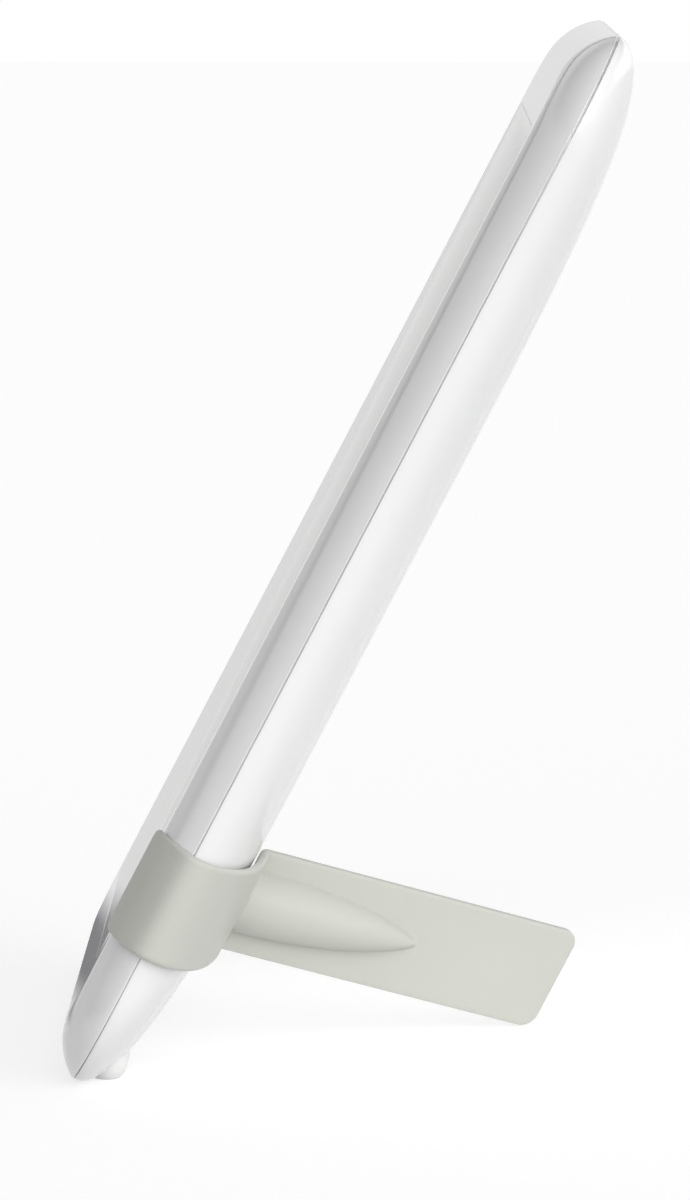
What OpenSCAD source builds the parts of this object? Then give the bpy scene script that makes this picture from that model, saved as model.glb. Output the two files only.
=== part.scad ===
// Light therapy lamp: a slim LED light panel that stands upright and leans back on a
// clip-on side stand. Millimetres. X runs across the panel towards the stand's side,
// Y to the back, Z up. The light shines towards -Y. The origin is on the table, under
// the middle of the whole lamp.
//
// Most pieces are written in the panel's own frame and then leant back: x across the
// panel, y up along it, z out of its front, with z = 0 where the two shells meet.

/* [Panel] */
// Height of the panel along its own face
panel_l = 235; // [220:1:260]
// Width of the panel
panel_w = 155; // [145:1:170]
// Radius of the panel's corners, seen from the front
corner_r = 22.7; // [18:0.1:26]
// Depth of the front shell, from the joint line to the front face
front_h = 7; // [6.6:0.1:9]
// Depth of the rear shell, from the joint line to the deepest point of its back
rear_h = 13.7; // [13.4:0.1:18]
// How far in from the edge the front shell reaches its full depth
front_roll = 12.3; // [11:0.1:13]
// How far in from the edge the rear shell reaches its full depth
rear_roll = 72; // [66:0.1:76]
// Wall of the front shell
front_wall = 2; // [1.6:0.1:2.4]
// Wall of the rear shell
rear_wall = 2.2; // [1.6:0.1:2.6]
// Lean of the panel above the table, in degrees
lean = 62.5; // [56:0.5:72]

/* [Screen] */
// Width of the front shell's border at its long sides
side_border = 16; // [14.5:0.1:20]
// Width of the front shell's border at its short ends
end_border = 23.5; // [22:0.1:30]
// Radius of the screen's corners
screen_r = 8; // [5:0.5:12]
// Step from the front shell down to the screen
screen_drop = 0.1; // [0.1:0.1:1]
// Gap round the screen's edge
screen_gap = 0.2; // [0.1:0.05:0.4]
// Thickness of the diffuser's flange, behind the front shell
flange_h = 1.5; // [1:0.1:2]
// Thickness of the foam gasket between front shell and flange
gasket_h = 0.5; // [0.4:0.1:1]

/* [Light engine] */
// Thickness of the diffusing film
film_h = 0.5; // [0.3:0.1:0.6]
// Thickness of the light guide
guide_h = 3; // [2.5:0.1:3.2]
// Thickness of the reflector sheet
reflector_h = 0.5; // [0.3:0.1:0.6]
// Thickness of the aluminium back plate
plate_h = 1; // [0.8:0.1:1.2]
// Wall of the optics frame beside the LED strips
frame_side = 2; // [1.5:0.1:2.4]
// Wall of the optics frame at its short ends
frame_end = 4; // [3.6:0.1:5]
// Thickness of an LED strip's board
strip_h = 1; // [0.8:0.1:1.2]
// Number of LEDs on each strip
led_count = 24; // [12:1:30]
// Length of one LED
led_l = 3.5; // [2.8:0.1:4]
// Depth of one LED, from its board to its face
led_d = 1.5; // [1:0.1:1.8]
// Gap between an LED's face and the light guide
led_gap = 0.3; // [0.2:0.1:0.6]

/* [Driver board] */
// Width of the driver board
board_w = 64; // [62:1:70]
// Length of the driver board
board_l = 34; // [33:1:40]
// Thickness of the driver board
board_h = 1.2; // [1:0.1:1.6]
// Height of the board's centre below the panel's centre
board_down = 60; // [50:1:66]
// Height of the brass standoffs under the board
standoff_h = 1.5; // [1.2:0.1:2]
// Distance of the switch and of the inlet from the board's short sides
control_edge = 12; // [11:0.5:13]

/* [Button and inlet] */
// Radius of the power button
button_r = 6; // [5:0.1:6.4]
// How far the button stands out of the rear shell
button_proud = 0.7; // [0.5:0.1:1]
// Travel of the button
button_travel = 0.6; // [0.3:0.1:0.8]
// Radius of the inlet's bore, for a 5.5 mm barrel plug
inlet_bore_r = 2.85; // [2.6:0.05:3]
// Radius of the inlet's centre pin
inlet_pin_r = 1; // [0.8:0.05:1.2]
// Outer radius of the inlet's nose
inlet_nose_r = 4; // [3.8:0.1:4.5]

/* [Feet] */
// Radius of a foot's round section
foot_r = 4.2; // [3.9:0.1:4.5]
// Flat worn into the foot's section where it stands on the table
foot_flat = 0.75; // [0.4:0.05:1]
// Length of a foot along the panel's bottom edge
foot_l = 16; // [10:1:20]
// Distance of a foot's middle from the panel's long side
foot_in = 27.5; // [25.5:0.5:31.5]
// Height of a foot's axis above the panel's bottom end
foot_up = 5.8; // [5.6:0.1:7]
// Depth of a foot's axis behind the joint line
foot_back = 4.6; // [4.5:0.1:5]

/* [Stand] */
// Height of the stand's strip
stand_h = 22.8; // [17:0.1:28]
// Height of the clip's bottom rim above the panel's bottom end
stand_up = 32; // [28:0.1:60]
// Wall of the clip and thickness of the leg
stand_wall = 2; // [1.6:0.1:2.6]
// Thickness of the clip's front lip at its end
lip_h = 1.2; // [0.8:0.1:1.8]
// Gap between the clip and the panel
clip_gap = 0.3; // [0.2:0.05:0.5]
// Extra gap halfway behind the panel, which the clip's grip rib bridges
arm_gap = 0.2; // [0.1:0.1:1]
// Width of the grip rib
rib_w = 1; // [0.6:0.1:1.6]
// Reach of the front lip, in from the panel's edge
lip_reach = 14; // [12.5:0.5:15]
// Radius of the lip's corners
lip_r = 5; // [2:0.5:8]
// Reach of the clip behind the panel, before the leg bends away
arm_reach = 49.6; // [30:0.1:56]
// Radius of the bend from the clip into the leg
bend_r = 1.5; // [1:0.5:6]
// Length of the leg after the bend
leg_l = 73.2; // [60:0.1:100]
// Angle of the leg from straight back towards the panel's middle, in degrees
leg_swing = 24.9; // [15:0.1:45]
// Radius of the corners at the leg's end
leg_r = 3.5; // [1:0.5:6]
// Root radius of the cone that stiffens the leg
cone_r = 6.9; // [4:0.1:9]
// Length of that cone
cone_l = 39; // [20:1:55]

/* [Screws] */
// Shank radius of the case screws
case_screw_r = 1; // [0.8:0.05:1.3]
// Head radius of the case screws
case_head_r = 2.4; // [2:0.1:2.6]
// Shank radius of the small screws inside
small_screw_r = 0.8; // [0.6:0.05:1]
// Distance of the case screws from the panel's centre line
case_screw_x = 34; // [28:1:38]
// Distance of the case screws from the panel's short ends
case_screw_in = 11.5; // [11:0.5:13]

/* [Hidden] */
$fn = 48;

WHITE = [0.95, 0.95, 0.95];
OPAL = [0.98, 0.98, 0.96];
GREIGE = [0.81, 0.81, 0.78];

half_w = panel_w / 2;
half_l = panel_l / 2;

// Shapes of the two rolls: depth grows as a power of the sine of the roll angle.
front_power = 1.575;
rear_power = 0.98;
// The back's inset grows as 1 less this power of the angle's cosine.
rear_fall = 0.65;
// The back's inner contours are rounder than its edge by this much per millimetre.
rear_rounding = 0.24;
// The innermost contour of the back is this far short of the roll's end.
rear_cap = 4.4;

// Steps of the roll, of a corner and of a bend
ROLL_STEPS = 12;
CORNER_STEPS = 10;
BEND_STEPS = 8;

// The light engine, from the front shell's inner face backwards
flange_top = front_h - front_wall - gasket_h;
film_top = flange_top - flange_h;
guide_top = film_top - film_h;
reflector_top = guide_top - guide_h;
plate_top = reflector_top - reflector_h;
plate_back = plate_top - plate_h;
// The light engine stays this far in from the panel's sides and ends.
engine_in_x = 9.5;
engine_in_y = 16;
engine_x = half_w - engine_in_x;
engine_y = half_l - engine_in_y;
engine_r = 6;
// Room left at the ends of the sheets, round the strips and beside the flange
slip = 0.1;
sheet_room = 0.3;
end_room = 1;
flange_in_x = 1.4;
flange_in_y = 2;
strip_x = engine_x - frame_side - slip;
strip_wide = guide_h + 0.8;
strip_half = engine_y - frame_end - 2 * end_room;
guide_x = strip_x - strip_h - led_d - led_gap;
guide_y = engine_y - frame_end - end_room;
sheet_x = strip_x - strip_h - sheet_room;
screen_x = half_w - side_border;
screen_y = half_l - end_border;
flange_x = engine_x - flange_in_x;
flange_y = engine_y - flange_in_y;

// The driver board hangs behind the back plate.
board_front = plate_back - standoff_h;
board_back = board_front - board_h;
board_y = -board_down;
control_x = board_w / 2 - control_edge;
board_post_in = [3.5, 3];
board_post_x = board_w / 2 - board_post_in[0];
board_post_y = board_l / 2 - board_post_in[1];
switch_size = [6, 6, 3.5];
plunger_r = 1.7;

// What stands on the board: size, then place from the middle of the board
driver_size = [4.9, 6, 1.6];
driver_at = [-4, 8];
rectifier_size = [5, 3.6, 2.2];
rectifier_at = [4, -11];
resistor_size = [3.2, 1.6, 0.6];
resistor_at = [-8, -11];
inductor_r = 4;
inductor_core_r = 3.3;
inductor_h = 4.6;
inductor_flange_h = 0.9;
inductor_at = [6, 7.5];
capacitor_r = 3.15;
capacitor_h = 5.4;
capacitor_at = [-8, -4];
capacitor_pitch = 7.4;

// Wires from the board to the LED strips, and the sockets that they start in
wire_r = 0.5;
wire_pitch = 1.8;
wire_down = 8;
wire_y = board_y - wire_down;
wire_front = 0.4;
wire_side = 2.3;
wire_out = engine_x + wire_side;
wire_turn = 12;
wire_sides = 8;
socket_size = [6, 7, 4];
socket_x = board_w / 2 - socket_size[0] / 2;
socket_mid = board_back - socket_size[2] / 2;

// Screws: depth of the case screws' seats, and the ends of their holes in the front shell
head_seat = 4.2;
screw_hole_end = front_h - front_wall - 0.4;
screw_tip = screw_hole_end - 0.8;
small_head_r = 1.5;
plate_screw_l = guide_h + 0.2;
plate_screw_in = 13;

// Outer and inner depth of the back over the switch and the inlet
control_in = min(half_w - control_x, half_l - board_down);
control_out = rear_depth(control_in);
control_roof = rear_inner_depth(control_in);
button_back = -(control_out + button_proud);
hole_room = 0.2;
flange_gap = 0.3;
button_flange_h = 1;
button_flange_r = button_r + 1.2;
button_flange_back = -(control_roof - flange_gap);
button_flange_front = button_flange_back + button_flange_h;
plunger_back = button_flange_front + 0.6;
// The inlet's nose stops short of the back's face, its body short of the back's inside.
inlet_short = 0.5;
inlet_back = -(control_out - inlet_short);
inlet_body = 9.4;
inlet_body_back = -(rear_inner_depth(control_in - inlet_body) - flange_gap);

// Table height below the panel's centre, and the middle of the whole lamp
foot_x = half_w - foot_in;
foot_s = -(half_l - foot_up);
foot_t = -foot_back;
table_drop = foot_r - foot_flat - foot_s * sin(lean) - foot_t * cos(lean);
clip_out = clip_gap + stand_wall;
middle_x = clip_out / 2;
roll_angles = [for (k = [0 : ROLL_STEPS]) 90 * k / ROLL_STEPS];
front_most = min([for (a = roll_angles)
    -(half_l - front_in(a)) * cos(lean) - front_depth_at(a) * sin(lean)]);
rear_most = max([for (a = roll_angles)
    (half_l - rear_in(a)) * cos(lean) + rear_depth_at(a) * sin(lean)]);
middle_y = (front_most + rear_most) / 2;

// The stand's strip, in the plane across the panel's edge
clip_bottom = -half_l + stand_up;
arm_angle = acos(pow(1 - arm_reach / rear_roll, 1 / rear_fall));
arm_end = clip_rear(arm_out(arm_angle), arm_angle);
arm_next = clip_rear(arm_out(arm_angle + 0.5), arm_angle + 0.5);
arm_heading = atan2(arm_next[1] - arm_end[1], arm_next[0] - arm_end[0]);
leg_heading = -90 - leg_swing;
bend = arm_heading > 0 ? leg_heading - arm_heading + 360 : leg_heading - arm_heading;
bend_end = bend_point(1);
leg_dir = [cos(leg_heading), sin(leg_heading)];
leg_end = bend_end + leg_l * leg_dir;
// Height of the leg's bottom end corner, so that its rounding just meets the table
leg_corner = bend_end + (leg_l - leg_r) * leg_dir;
leg_corner_s = (-table_drop - leg_corner[1] * cos(lean)
    + leg_r * sqrt(pow(sin(lean), 2) + pow(leg_dir[1] * cos(lean), 2))) / sin(lean);
// The strip rises evenly over its run from the end of the clip.
bend_run = bend_r * abs(bend) * PI / 180;
strip_run = bend_run + leg_l;
leg_rise = (leg_corner_s - leg_r - clip_bottom) / (1 - leg_r / strip_run);

lip_corner = lip_reach - lip_r;
lip_start = acos(1 - min(lip_corner, front_roll - 0.5) / front_roll);
inner_side = [sin(leg_heading), -cos(leg_heading)];
rib_angle = 0.8 * arm_angle;
// Half cone on the leg: how far it runs back into the clip, the power of its fall, and
// its clearance from the panel
cone_back = 8;
cone_power = 0.68;
cone_clear = clip_gap + 0.2;
// Past every edge of the lamp
far = 2 * panel_l;

// Depth of each shell at an inset from the edge, and both as the roll angle turns
function front_in(a) = front_roll * (1 - cos(a));
function front_depth_at(a) = front_h * pow(sin(a), front_power);
function rear_in(a) = rear_roll * (1 - pow(cos(a), rear_fall));
function rear_depth_at(a) = rear_h * pow(sin(a), rear_power);
function roll_sine(d, w, fall) = sqrt(max(0, 1 - pow(1 - min(d, w) / w, 2 / fall)));
function rear_depth(d) = rear_h * pow(roll_sine(d, rear_roll, rear_fall), rear_power);
function rear_inner_depth(d) = (rear_h - rear_wall)
    * pow(roll_sine(d - rear_wall, rear_roll - rear_wall, rear_fall), rear_power);

// Corners of a rounded rectangle with half sizes a and b, anticlockwise, at height z
function rounded(a, b, r, z) = [
    for (q = [0 : 3]) for (k = [0 : CORNER_STEPS])
        let (ang = 90 * q + 90 * k / CORNER_STEPS,
             cx = (q == 0 || q == 3 ? 1 : -1) * (a - r),
             cy = (q < 2 ? 1 : -1) * (b - r))
        [cx + r * cos(ang), cy + r * sin(ang), z]
];
function flat(points) = [for (p = points) [p[0], p[1]]];
function front_ring(d, z) = rounded(half_w - d, half_l - d, corner_r - d, z);
function rear_ring(d, z) = rounded(half_w - d, half_l - d,
    min(corner_r + rear_rounding * d, half_w - d - 0.5), z);

// The clip's section: the panel's own section, grown outwards by c
function clip_front(c, a) = [
    half_w + c - (front_roll + c) * (1 - cos(a)), (front_h + c) * pow(sin(a), front_power)
];
function clip_rear(c, a) = [
    half_w + c - (rear_roll + c) * (1 - pow(max(0, cos(a)), rear_fall)),
    -(rear_h + c) * pow(sin(a), rear_power)
];
function arm_in(a) = clip_gap + arm_gap * sin(180 * a / arm_angle);
function arm_out(a) = arm_in(a) + stand_wall;
function bend_point(f) = arm_end + bend_r * [
    sin(arm_heading + f * bend) - sin(arm_heading),
    cos(arm_heading) - cos(arm_heading + f * bend)
] * sign(bend);

// Puts what is written in the panel's frame into its place on the table
module leant() {
    translate([-middle_x, -middle_y, table_drop]) rotate([lean, 0, 0]) children();
}

// A solid skinned over rings of equal count, from the lowest to the highest
module skin(rings) {
    n = len(rings[0]);
    points = [for (ring = rings) each ring];
    sides = [
        for (k = [0 : len(rings) - 2]) for (i = [0 : n - 1])
            let (j = (i + 1) % n)
            each [[k * n + i, (k + 1) * n + i, (k + 1) * n + j],
                  [k * n + i, (k + 1) * n + j, k * n + j]]
    ];
    low = [for (i = [0 : n - 1]) i];
    high = [for (i = [n - 1 : -1 : 0]) (len(rings) - 1) * n + i];
    polyhedron(points = points, faces = concat([low], sides, [high]), convexity = 6);
}

// A flat plate with round corners between two depths
module plate(a, b, r, low, high) {
    translate([0, 0, low]) linear_extrude(high - low) polygon(flat(rounded(a, b, r, 0)));
}

module ring_plate(a, b, r, in_a, in_b, in_r, low, high) {
    difference() {
        plate(a, b, r, low, high);
        plate(in_a, in_b, in_r, low - 1, high + 1);
    }
}

module peg(x, y, r, low, high) {
    translate([x, y, low]) cylinder(r = r, h = high - low);
}

module block(size, centre) {
    translate(centre) cube(size, center = true);
}

module case_screw_places() {
    for (sx = [-1, 1]) for (sy = [-1, 1])
        translate([sx * case_screw_x, sy * (half_l - case_screw_in), 0]) children();
}

// The front shell: a rolled border round the screen, with bosses for the case screws
module front_frame() {
    inner_h = front_h - front_wall;
    inner_roll = front_roll - 0.9 * front_wall;
    boss_r = 3.2;
    color(WHITE) leant() difference() {
        union() {
            difference() {
                skin([for (a = roll_angles) front_ring(front_in(a), front_depth_at(a))]);
                skin(concat([front_ring(front_wall, -1)], [for (a = roll_angles)
                    front_ring(front_wall + inner_roll * (1 - cos(a)),
                        inner_h * pow(sin(a), front_power))]));
            }
            case_screw_places() cylinder(r = boss_r, h = inner_h + slip);
        }
        plate(screen_x, screen_y, screen_r + screen_gap, 0, front_h + 1);
        case_screw_places() translate([0, 0, -1])
            cylinder(r = case_screw_r + 0.05, h = screw_hole_end + 1);
    }
}

// The rear shell: a pillow-shaped back with bosses, press ribs and a locating lip
module rear_shell() {
    lip_in = 3.4;
    lip_thick = 1;
    lip_high = 1.4;
    rib_x = 45;
    rib_l = 110;
    rib_thick = 1.6;
    lip_deep = 3.6;
    boss_r = 3.6;
    collar_wall = 1.2;
    collar_deep = 9.2;
    skin_in = 0.6;
    rear_depths = [for (k = [ROLL_STEPS : -1 : 0])
        (rear_roll - rear_cap) * (1 - cos(90 * k / ROLL_STEPS))];
    color(WHITE) leant() difference() {
        union() {
            difference() {
                skin([for (d = rear_depths) rear_ring(d, -rear_depth(d))]);
                skin(concat([for (d = rear_depths)
                    rear_ring(rear_wall + d * (1 - rear_wall / rear_roll),
                        -rear_inner_depth(rear_wall + d * (1 - rear_wall / rear_roll)))],
                    [rear_ring(rear_wall, 1)]));
            }
            difference() {
                plate(half_w - lip_in, half_l - lip_in, corner_r - lip_in, -lip_deep, lip_high);
                plate(half_w - lip_in - lip_thick, half_l - lip_in - lip_thick,
                    corner_r - lip_in - lip_thick, -lip_deep - 1, lip_high + 1);
            }
            intersection() {
                union() {
                    for (sx = [-1, 1])
                        block([rib_thick, rib_l, rear_h], [sx * rib_x, 0, plate_back - rear_h / 2]);
                    case_screw_places() translate([0, 0, -rear_h]) cylinder(r = boss_r, h = rear_h);
                    peg(-control_x, board_y, button_flange_r + hole_room + collar_wall,
                        -rear_h, -collar_deep);
                }
                skin([for (d = rear_depths)
                    rear_ring(d + skin_in, skin_in - rear_depth(d + skin_in))]);
            }
        }
        case_screw_places() {
            translate([0, 0, -rear_h - 1]) cylinder(r = case_head_r + 0.3, h = rear_h + 1 - head_seat);
            translate([0, 0, -rear_h]) cylinder(r = case_screw_r + 0.3, h = rear_h + 1);
        }
        peg(-control_x, board_y, button_r + hole_room, -rear_h - 1, -control_roof + 1);
        peg(-control_x, board_y, button_flange_r + hole_room, -control_roof, board_back);
        peg(control_x, board_y, inlet_nose_r + hole_room, -rear_h - 1, board_back);
        for (sx = [-1, 1]) foot_bar(sx, foot_r + 0.05);
    }
}

// The diffuser: an opal plate whose raised field shows as the lamp's screen
module diffuser() {
    color(OPAL) leant() {
        plate(flange_x, flange_y, engine_r - flange_in_x, film_top, flange_top);
        plate(screen_x - screen_gap, screen_y - screen_gap, screen_r,
            flange_top - slip, front_h - screen_drop);
    }
}

// A foam ring that seals the diffuser's flange to the front shell
module diffuser_gasket() {
    wide = 2.6;
    back = 0.4;
    color("dimgray") leant() ring_plate(
        screen_x + back + wide, screen_y + back + wide, screen_r + back + wide,
        screen_x + back, screen_y + back, screen_r + back, flange_top, front_h - front_wall);
}

module diffusing_film() {
    color("white") leant() plate(guide_x, guide_y, 2, guide_top, film_top);
}

module light_guide() {
    color([0.8, 0.93, 0.95]) leant() plate(guide_x, guide_y, 1, reflector_top, guide_top);
}

module reflector_sheet() {
    color("white") leant() plate(sheet_x, guide_y, 2, plate_top, reflector_top);
}

// The optics frame holds the sheets and both LED strips, with a notch for the wires
module optics_frame() {
    color([0.9, 0.9, 0.88]) leant() difference() {
        plate(engine_x, engine_y, engine_r, plate_top, film_top);
        plate(engine_x - frame_side, engine_y - frame_end, 2, plate_top - 1, film_top + 1);
        for (sx = [-1, 1])
            block([3 * frame_side, wire_pitch + 2 * (wire_r + hole_room), 2 * wire_r + 3 * hole_room],
                [sx * engine_x, wire_y, wire_front]);
        plate_screw_places() translate([0, 0, plate_top - 1])
            cylinder(r = small_screw_r, h = plate_screw_l + 1);
    }
}

module plate_screw_places() {
    for (sx = [-1, 0, 1]) for (sy = [-1, 1])
        translate([sx * (engine_x - plate_screw_in), sy * (engine_y - frame_end / 2), 0]) children();
}

// The aluminium back plate carries the light engine's heat and the driver board
module back_plate() {
    color("silver") leant() difference() {
        plate(engine_x, engine_y, engine_r, plate_back, plate_top);
        plate_screw_places() translate([0, 0, plate_back - 1])
            cylinder(r = small_screw_r + 0.1, h = plate_h + 2);
        board_posts() translate([0, 0, plate_back - 1]) cylinder(r = small_screw_r, h = plate_h + 2);
    }
}

// One LED strip's board, standing at a long side of the light guide
module led_strip(side) {
    color("white") leant()
        block([strip_h, 2 * strip_half, strip_wide],
            [side * (strip_x - strip_h / 2), 0, plate_top + slip + strip_wide / 2]);
}

module leds(side) {
    pitch = 2 * strip_half / led_count;
    color([1, 0.95, 0.6]) leant() for (k = [0 : led_count - 1])
        block([led_d, led_l, 0.8 * guide_h],
            [side * (strip_x - strip_h - led_d / 2), (k + 0.5) * pitch - strip_half,
             reflector_top + guide_h / 2]);
}

// A pan-head screw with a cross recess; its shank points to +z from the head's seat at 0
module pan_screw(shank_r, head_r, length) {
    head_h = 0.7 * head_r;
    color("darkgray") difference() {
        union() {
            translate([0, 0, -head_h]) cylinder(r = head_r, h = head_h);
            cylinder(r = shank_r, h = length);
        }
        for (turn = [0, 90]) rotate([0, 0, turn])
            block([1.2 * head_r, 0.26 * head_r, head_h], [0, 0, -head_h]);
    }
}

module plate_screws() {
    leant() plate_screw_places() translate([0, 0, plate_back])
        pan_screw(small_screw_r - 0.05, small_head_r, plate_h + plate_screw_l - 0.4);
}

module board_posts() {
    for (sx = [-1, 1]) for (sy = [-1, 1])
        translate([sx * board_post_x, board_y + sy * board_post_y, 0]) children();
}

// Brass standoffs between the back plate and the driver board
module board_standoffs() {
    color("goldenrod") leant() board_posts() difference() {
        translate([0, 0, board_front]) cylinder(r = 2, h = standoff_h);
        translate([0, 0, board_front - 1]) cylinder(r = small_screw_r, h = standoff_h + 1.5);
    }
}

module driver_board() {
    color("seagreen") leant() difference() {
        block([board_w, board_l, board_h], [0, board_y, board_front - board_h / 2]);
        board_posts() translate([0, 0, board_back - 1]) cylinder(r = small_screw_r + 0.1, h = board_h + 2);
    }
}

module board_screws() {
    leant() board_posts() translate([0, 0, board_back])
        pan_screw(small_screw_r - 0.05, small_head_r, board_h + standoff_h - slip);
}

module on_board(size, at) {
    block(size, [at[0], board_y + at[1], board_back - size[2] / 2]);
}

// The LED driver, its rectifier and a sense resistor
module driver_chips() {
    color([0.12, 0.12, 0.13]) leant() {
        on_board(driver_size, driver_at);
        on_board(rectifier_size, rectifier_at);
        on_board(resistor_size, resistor_at);
    }
}

// A drum inductor: two flanges round a wound core
module inductor() {
    bevel = 0.2;
    top = inductor_h - inductor_flange_h;
    color([0.25, 0.25, 0.27]) leant()
        translate([inductor_at[0], board_y + inductor_at[1], board_back - inductor_h])
        rotate_extrude() polygon([[0, 0], [inductor_r, 0], [inductor_r, inductor_flange_h],
            [inductor_core_r, inductor_flange_h + bevel], [inductor_core_r, top - bevel],
            [inductor_r, top], [inductor_r, inductor_h], [0, inductor_h]]);
}

module capacitors() {
    color([0.7, 0.72, 0.75]) leant() for (k = [0, 1])
        peg(capacitor_at[0] + capacitor_pitch * k, board_y + capacitor_at[1], capacitor_r,
            board_back - capacitor_h, board_back);
}

// The inlet: a body on the board and a round nose in the rear shell's hole
module dc_inlet() {
    color([0.1, 0.1, 0.1]) leant() difference() {
        union() {
            block([inlet_body, inlet_body, board_back - inlet_body_back],
                [control_x, board_y, (board_back + inlet_body_back) / 2]);
            peg(control_x, board_y, inlet_nose_r, inlet_back, inlet_body_back + slip);
        }
        peg(control_x, board_y, inlet_bore_r, inlet_back - 1, board_back - 1);
    }
}

module inlet_pin() {
    color("goldenrod") leant()
        peg(control_x, board_y, inlet_pin_r, inlet_back + 1, board_back - 1);
}

// The push switch on the board: its body, and the plunger that slides in it
module tact_switch() {
    color([0.2, 0.2, 0.22]) leant() difference() {
        on_board(switch_size, [-control_x, 0]);
        peg(-control_x, board_y, plunger_r + slip, board_back - switch_size[2] - 1, board_back - 1);
    }
}

module switch_plunger() {
    color("black") leant()
        peg(-control_x, board_y, plunger_r, plunger_back, board_back - 1 - button_travel - 0.4);
}

// The power button: a cap in the rear shell's hole, kept in by its flange
module power_button() {
    color([0.8, 0.82, 0.84]) leant() {
        peg(-control_x, board_y, button_r, button_back, button_flange_front);
        peg(-control_x, board_y, button_flange_r, button_flange_back, button_flange_front);
        peg(-control_x, board_y, plunger_r, button_flange_front - slip, plunger_back);
    }
}

module wire_sockets() {
    color("ivory") leant() for (sx = [-1, 1])
        block(socket_size, [sx * socket_x, wire_y, socket_mid]);
}

// A wire along points (x, z) at one y: a ring of points at each, mitred where it bends
module wire(points, y) {
    last = len(points) - 1;
    function way(k) = let (d = points[k + 1] - points[k]) d / norm(d);
    skin([for (k = [0 : last])
        let (before = way(max(k - 1, 0)), after = way(min(k, last - 1)),
             mean = (before + after) / norm(before + after),
             wide = wire_r / (mean * after))
        [for (i = [0 : wire_sides - 1])
            let (turn = 360 * i / wire_sides)
            [points[k][0] - wide * cos(turn) * mean[1], y + wire_r * sin(turn),
             points[k][1] + wide * cos(turn) * mean[0]]]]);
}

// Two wires to the LED strip on each side
module led_wires() {
    color("firebrick") leant() for (sx = [-1, 1]) for (sy = [-1, 1])
        wire([[sx * (socket_x + socket_size[0] / 2), socket_mid],
              [sx * (wire_out - wire_turn), socket_mid + 1],
              [sx * wire_out, plate_back - wire_r],
              [sx * wire_out, wire_front],
              [sx * strip_x, wire_front]], wire_y + sy * wire_pitch / 2);
}

module case_screws() {
    leant() case_screw_places() translate([0, 0, -head_seat])
        pan_screw(case_screw_r, case_head_r, head_seat + screw_tip);
}

// A foot: a rounded bar in a socket of the rear shell, flat where it stands
module foot_bar(side, r) {
    half = foot_l / 2 - foot_r;
    translate([side * foot_x, foot_s, foot_t]) {
        rotate([0, 90, 0]) cylinder(r = r, h = 2 * half, center = true);
        for (end = [-half, half]) translate([end, 0, 0]) sphere(r = r);
    }
}

module foot(side) {
    color("white") difference() {
        leant() foot_bar(side, foot_r);
        translate([0, 0, -far / 2]) cube(far, center = true);
    }
}

// One station of the stand's strip: outer and inner point, rise and what its corner loses
function station(outer, inner, run, cut) =
    let (low = clip_bottom + leg_rise * run / strip_run + cut,
         high = clip_bottom + leg_rise * run / strip_run + stand_h - cut)
    [[outer[0], low, outer[1]], [inner[0], low, inner[1]],
     [inner[0], high, inner[1]], [outer[0], high, outer[1]]];
function lip_out(a) = clip_gap + lip_h + (stand_wall - lip_h) * (1 - sin(a));
function lip_point(d, c) = [half_w - d,
    (front_h + c) * pow(roll_sine(d + c, front_roll + c, 1), front_power)];

// The stand: a clip round the panel's edge that runs on as a flat leg
module stand() {
    stations = concat(
        [for (k = [0 : BEND_STEPS - 1])
            let (b = 90 * k / BEND_STEPS, d = lip_reach - lip_r * (1 - cos(b)))
            station(lip_point(d, clip_gap + lip_h), lip_point(d, clip_gap), 0,
                lip_r * (1 - sin(b)))],
        [for (k = [0 : ROLL_STEPS])
            let (a = lip_start * (1 - k / ROLL_STEPS))
            station(clip_front(lip_out(a), a), clip_front(clip_gap, a), 0, 0)],
        [for (k = [1 : ROLL_STEPS])
            let (a = arm_angle * k / ROLL_STEPS)
            station(clip_rear(arm_out(a), a), clip_rear(arm_in(a), a), 0, 0)],
        [for (k = [1 : BEND_STEPS])
            let (f = k / BEND_STEPS, h = arm_heading + f * bend)
            station(bend_point(f), bend_point(f) + stand_wall * [sin(h), -cos(h)],
                f * bend_run, 0)],
        [for (k = [0 : BEND_STEPS])
            let (b = 90 * (1 - k / BEND_STEPS),
                 outer = leg_end - leg_r * (1 - cos(b)) * leg_dir)
            station(outer, outer + stand_wall * inner_side,
                strip_run - leg_r * (1 - cos(b)), leg_r * (1 - sin(b)))]
    );
    color(GREIGE) leant() {
        skin(stations);
        leg_cone();
        grip_rib();
    }
}

// A rib inside the clip, which bears on the panel's back
module grip_rib() {
    half = 90 * rib_w / (PI * rear_roll * sin(rib_angle));
    root = arm_in(rib_angle) + 0.5 * stand_wall;
    translate([0, clip_bottom + lip_r / 2, 0]) rotate([90, 0, 0]) mirror([0, 0, 1])
        linear_extrude(stand_h - lip_r) polygon([
            clip_rear(clip_gap, rib_angle - half), clip_rear(clip_gap, rib_angle + half),
            clip_rear(root, rib_angle + half), clip_rear(root, rib_angle - half)]);
}

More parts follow.
